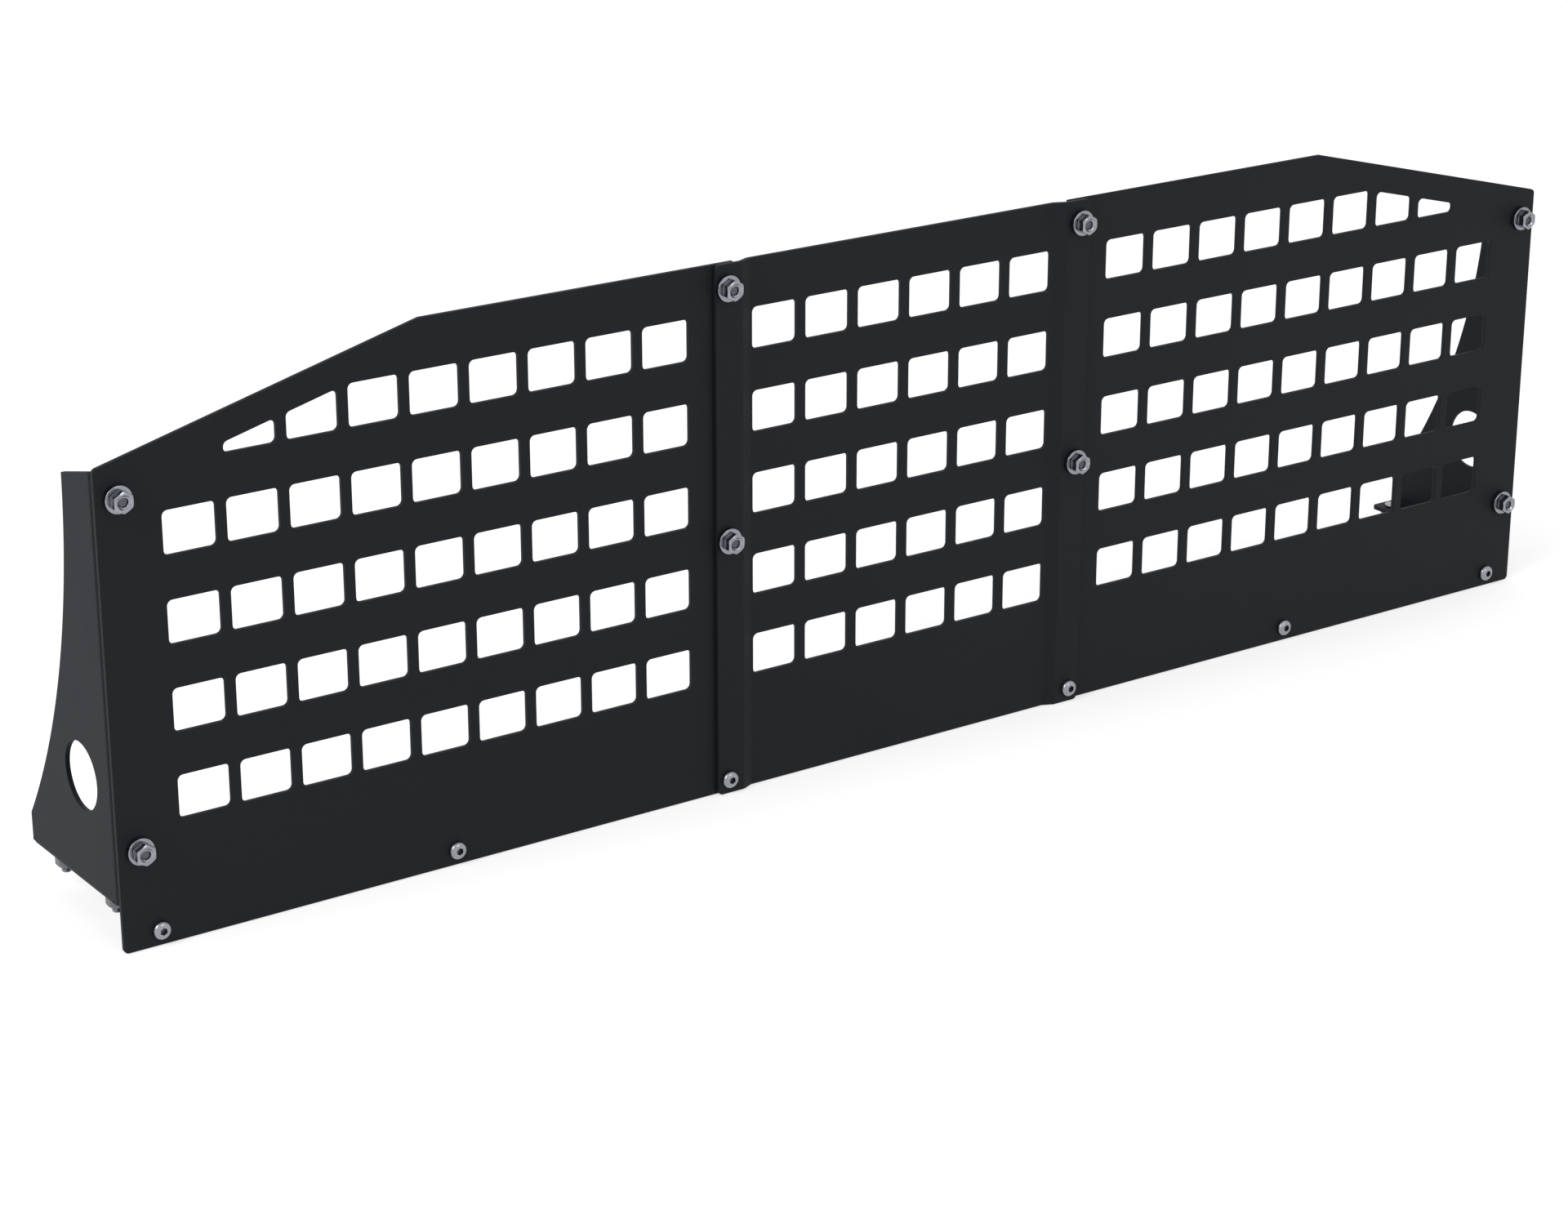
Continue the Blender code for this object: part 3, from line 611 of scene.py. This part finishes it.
def panel_hardware(bolt_finish, painted_end_shade, nut_finish, washer_finish):
    """Hex bolts from behind, each with a thick washer and a nut in front; nuts behind the screws."""
    bolt_low, bolt_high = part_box("left_end_upper_bolt")
    bolt = hex_bolt_mesh(bolt_high.y - BOLT_HEAD - bolt_low.y)
    bolt.materials.append(bolt_finish)
    # second material: painted shade on the bolt's end, which sits sunk in its nut
    bolt.materials.append(painted_end_shade)
    low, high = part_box("left_end_upper_washer")
    washer = washer_mesh((high.x - low.x) / 2, high.y - low.y)
    low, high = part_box("left_end_upper_nut")
    nut = nut_mesh("front_nut", high.y - low.y, high.y - bolt_low.y)
    screw_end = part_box("left_outer_lower_screw")[1].y
    low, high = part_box("left_outer_lower_nut")
    rear_nut = nut_mesh("rear_nut", high.y - low.y, screw_end - low.y)
    for side_name in SIDES:
        for label in JOINT_BOLTS + END_BOLTS:
            node = f"{side_name}_{label}"
            fasten(node + "_bolt", bolt, FACING_FRONT, bolt_finish, BOLT_HEAD)
            fasten(node + "_washer", washer, FACING_FRONT, washer_finish)
            fasten(node + "_nut", nut, FACING_FRONT, nut_finish)
        for label in LOWER_SCREWS:
            fasten(f"{side_name}_{label}_nut", rear_nut, FACING_REAR, nut_finish)


def lower_screws(finish, painted_socket_shade):
    """Button-head screws along the bottom edge."""
    low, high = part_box("left_outer_lower_screw")
    screw = screw_mesh(high.y - low.y - BUTTON_HEIGHT, (high.x - low.x) / 2)
    screw.materials.append(finish)
    # second material: painted shade inside the hex socket
    screw.materials.append(painted_socket_shade)
    for side_name in SIDES:
        for label in LOWER_SCREWS:
            fasten(f"{side_name}_{label}_screw", screw, FACING_REAR, finish, BUTTON_HEIGHT)


def foot_hardware(bolt_finish, nut_finish, washer_finish):
    """Bolts down through the feet, each with a washer and a lock nut below."""
    low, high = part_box("left_front_foot_bolt")
    bolt = foot_bolt_mesh(high.z - FOOT_HEAD_HEIGHT - low.z, (high.x - low.x) / 2)
    low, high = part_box("left_front_foot_washer")
    washer = washer_mesh((high.x - low.x) / 2, high.z - low.z)
    low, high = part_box("left_front_foot_lock_nut")
    nut = lock_nut_mesh(high.z - low.z)
    for side_name in SIDES:
        for label in FOOT_BOLTS:
            node = f"{side_name}_{label}"
            fasten(node + "_bolt", bolt, FACING_DOWN, bolt_finish, FOOT_HEAD_HEIGHT)
            fasten(node + "_washer", washer, FACING_DOWN, washer_finish)
            fasten(node + "_lock_nut", nut, FACING_DOWN, nut_finish)


# Finishes

PEBBLE = 0.7 * MM                 # width of the pebbles in the skin of the powder coat
PEBBLE_HEIGHT = 0.1 * MM
PEBBLE_STRENGTH = 0.12
SPRAY_CLOUD = 45 * MM             # width of the faint clouds that spraying leaves in it
COAT_SMOOTH = 0.53                # its roughness, from the smoothest of those clouds to the roughest
COAT_ROUGH = 0.61
COAT_IOR = 1.45
COAT_SPECULAR = 0.17              # low, because matting agents dull its surface
PLATING_CLOUD = 2.5 * MM          # width of the faint clouds in zinc plate
CRYSTAL = 0.25 * MM               # its crystals, drawn about a hundred times too coarse so that they show
CRYSTAL_HEIGHT = 0.05 * MM
CRYSTAL_STRENGTH = 0.06
CLOUD_DETAIL = 3.0                # finer and finer layers in a pattern of clouds, and in one of grains
GRAIN_DETAIL = 2.0


def linear(code):
    """An sRGB hex colour as linear red, green, blue and alpha."""
    parts = [int(code[k:k + 2], 16) / 255 for k in (1, 3, 5)]
    return tuple(c / 12.92 if c <= 0.04045 else ((c + 0.055) / 1.055) ** 2.4 for c in parts) + (1.0,)


def add(tree, kind, sockets=None, **settings):
    """Adds a node; each of its sockets is linked to another node's output or set to a plain value."""
    node = tree.nodes.new(kind)
    for key, value in settings.items():
        setattr(node, key, value)
    for key, value in (sockets or {}).items():
        if isinstance(value, bpy.types.NodeSocket):
            tree.links.new(value, node.inputs[key])
        else:
            node.inputs[key].default_value = value
    return node


def start_material(name):
    """A new material, its nodes, its shader and the place on the piece, in metres, that patterns follow."""
    material = bpy.data.materials.new(name)
    material.use_nodes = True
    tree = material.node_tree
    place = add(tree, "ShaderNodeTexCoord").outputs["Object"]
    return material, tree, tree.nodes["Principled BSDF"], place


def powder_coat(name, dark, light):
    """Black polyester powder coat, sprayed and baked on steel sheet.

    It gives the eye an even satin black, whose fine pebbled skin breaks up reflections.
    """
    material, tree, shader, place = start_material(name)
    pebble = add(tree, "ShaderNodeTexNoise",
                 {"Vector": place, "Scale": 1 / PEBBLE, "Detail": GRAIN_DETAIL})
    cloud = add(tree, "ShaderNodeTexNoise",
                {"Vector": place, "Scale": 1 / SPRAY_CLOUD, "Detail": CLOUD_DETAIL})
    tone = add(tree, "ShaderNodeMix",
               {"Factor": cloud.outputs["Fac"], "A": linear(dark), "B": linear(light)}, data_type="RGBA")
    gloss = add(tree, "ShaderNodeMapRange",
                {"Value": cloud.outputs["Fac"], "To Min": COAT_SMOOTH, "To Max": COAT_ROUGH})
    skin = add(tree, "ShaderNodeBump",
               {"Height": pebble.outputs["Fac"], "Strength": PEBBLE_STRENGTH, "Distance": PEBBLE_HEIGHT})
    tree.links.new(tone.outputs["Result"], shader.inputs["Base Color"])
    tree.links.new(gloss.outputs["Result"], shader.inputs["Roughness"])
    tree.links.new(skin.outputs["Normal"], shader.inputs["Normal"])
    shader.inputs["IOR"].default_value = COAT_IOR
    shader.inputs["Specular IOR Level"].default_value = COAT_SPECULAR
    return material


def zinc_plate(name, dark, light, smooth, rough):
    """Zinc plated on steel in a bath.

    It gives the eye a bluish silver metal with faint clouds, whose fine crystals blur what it mirrors.
    """
    material, tree, shader, place = start_material(name)
    cloud = add(tree, "ShaderNodeTexNoise",
                {"Vector": place, "Scale": 1 / PLATING_CLOUD, "Detail": CLOUD_DETAIL})
    grain = add(tree, "ShaderNodeTexNoise",
                {"Vector": place, "Scale": 1 / CRYSTAL, "Detail": GRAIN_DETAIL})
    tone = add(tree, "ShaderNodeMix",
               {"Factor": cloud.outputs["Fac"], "A": linear(dark), "B": linear(light)}, data_type="RGBA")
    gloss = add(tree, "ShaderNodeMapRange",
                {"Value": cloud.outputs["Fac"], "To Min": smooth, "To Max": rough})
    skin = add(tree, "ShaderNodeBump",
               {"Height": grain.outputs["Fac"], "Strength": CRYSTAL_STRENGTH, "Distance": CRYSTAL_HEIGHT})
    tree.links.new(tone.outputs["Result"], shader.inputs["Base Color"])
    tree.links.new(gloss.outputs["Result"], shader.inputs["Roughness"])
    tree.links.new(skin.outputs["Normal"], shader.inputs["Normal"])
    shader.inputs["Metallic"].default_value = 1.0
    return material


# Stage

FLOOR_SIZE = 12.0
FLOOR_GAP = 0.0003                # below the lowest edge of the panels
FLOOR_COLOUR = "#e2e2e2"
FLOOR_LIFT = 0.52                 # glow that brings the lit floor up to white where it is seen
AMBIENT = 0.62                    # light from all round
KEY_PLACE = (-2.8, -0.6, 2.0)     # large soft box on the left
KEY_SIZE = 1.8
KEY_WATTS = 38.0
FILL_PLACE = (0.4, -3.0, 1.9)     # smaller soft box in front
FILL_SIZE = 1.2
FILL_WATTS = 12.0
AIM = Vector((0, 0, 0.14))        # middle of the rack
CAMERA_PLACE = (-1.297876, -1.730477, 0.864478)
CAMERA_TILT = 20.264              # degrees below the horizon
CAMERA_TURN = -34.991             # degrees to the right of straight at the front
CAMERA_LENS = 85.72               # millimetres, as the sensor's width
CAMERA_SENSOR = 36.0


def seen_by_eye(tree):
    """1 for rays that show the background: straight, mirrored or through glass."""
    path = add(tree, "ShaderNodeLightPath")
    either = add(tree, "ShaderNodeMath",
                 {0: path.outputs["Is Camera Ray"], 1: path.outputs["Is Glossy Ray"]}, operation="MAXIMUM")
    shown = add(tree, "ShaderNodeMath",
                {0: either.outputs[0], 1: path.outputs["Is Transmission Ray"]}, operation="MAXIMUM")
    return shown.outputs[0]


def white_world():
    """White all round where it is seen, and a soft even light on everything."""
    world = bpy.data.worlds.new("white studio")
    bpy.context.scene.world = world
    world.use_nodes = True
    tree = world.node_tree
    level = add(tree, "ShaderNodeMapRange", {"Value": seen_by_eye(tree), "To Min": AMBIENT, "To Max": 1.0})
    tree.links.new(level.outputs["Result"], tree.nodes["Background"].inputs["Strength"])
    tree.nodes["Background"].inputs["Color"].default_value = (1, 1, 1, 1)


def pale_floor():
    """Matt white paper, lifted to white where it is seen, so that only the shadow shows on it."""
    work = bmesh.new()
    bmesh.ops.create_grid(work, x_segments=1, y_segments=1, size=FLOOR_SIZE / 2)
    mesh = bpy.data.meshes.new("floor")
    work.to_mesh(mesh)
    work.free()
    floor = bpy.data.objects.new("floor", mesh)
    floor.location.z = cad_box[0].z - FLOOR_GAP
    bpy.context.scene.collection.objects.link(floor)
    material = bpy.data.materials.new("white paper")
    material.use_nodes = True
    tree = material.node_tree
    tree.nodes.remove(tree.nodes["Principled BSDF"])
    matt = add(tree, "ShaderNodeBsdfDiffuse", {"Color": linear(FLOOR_COLOUR)})
    lift = add(tree, "ShaderNodeMath", {0: seen_by_eye(tree), 1: FLOOR_LIFT}, operation="MULTIPLY")
    glow = add(tree, "ShaderNodeEmission", {"Strength": lift.outputs[0]})
    both = add(tree, "ShaderNodeAddShader", {0: matt.outputs[0], 1: glow.outputs[0]})
    tree.links.new(both.outputs[0], tree.nodes["Material Output"].inputs["Surface"])
    mesh.materials.append(material)


def soft_light(name, place, size, watts):
    """A square soft box that points at the middle of the rack."""
    lamp = bpy.data.lights.new(name, "AREA")
    lamp.shape = "SQUARE"
    lamp.size = size
    lamp.energy = watts
    light = bpy.data.objects.new(name, lamp)
    light.location = place
    light.rotation_euler = (AIM - Vector(place)).to_track_quat("-Z", "Y").to_euler()
    bpy.context.scene.collection.objects.link(light)


def camera():
    """The photograph's view."""
    lens = bpy.data.cameras.new("camera")
    lens.sensor_width = CAMERA_SENSOR
    lens.lens = CAMERA_LENS
    view = bpy.data.objects.new("camera", lens)
    view.location = CAMERA_PLACE
    view.rotation_euler = (math.radians(90 - CAMERA_TILT), 0, math.radians(CAMERA_TURN))
    bpy.context.scene.collection.objects.link(view)
    bpy.context.scene.camera = view


panel_black = powder_coat("satin black powder coat on panels", "#191b1f", "#1c1e22")
bracket_black = powder_coat("satin black powder coat on brackets", "#191b21", "#1c1e24")
bolt_zinc = zinc_plate("bright zinc plate on bolts and screws", "#8c8f95", "#a0a3a9",
                       smooth=0.22, rough=0.30)
nut_zinc = zinc_plate("bright zinc plate on nuts", "#878a90", "#9da0a6",
                      smooth=0.18, rough=0.26)
washer_zinc = zinc_plate("polished bright zinc plate on washers", "#81848b", "#95989e",
                         smooth=0.10, rough=0.16)
lock_zinc = zinc_plate("dull zinc plate on lock nuts", "#63656a", "#76797e",
                       smooth=0.30, rough=0.40)
# Zinc with painted shade: darker colour where shade falls, inside the screws' hex sockets and on the bolt
# ends sunk in their nuts
painted_shade_zinc = zinc_plate("oiled zinc plate in sockets and on bolt ends", "#505257", "#606267",
                        smooth=0.35, rough=0.45)

for side_name, side in SIDES.items():
    outer_panel(side_name, side, panel_black)
    bracket(side_name, side, bracket_black)
center_panel(panel_black)
panel_hardware(bolt_zinc, painted_shade_zinc, nut_zinc, washer_zinc)
lower_screws(bolt_zinc, painted_shade_zinc)
foot_hardware(bolt_zinc, lock_zinc, washer_zinc)

white_world()
pale_floor()
soft_light("key from the left", KEY_PLACE, KEY_SIZE, KEY_WATTS)
soft_light("fill from the front", FILL_PLACE, FILL_SIZE, FILL_WATTS)
camera()
bpy.context.scene.view_settings.view_transform = "Standard"
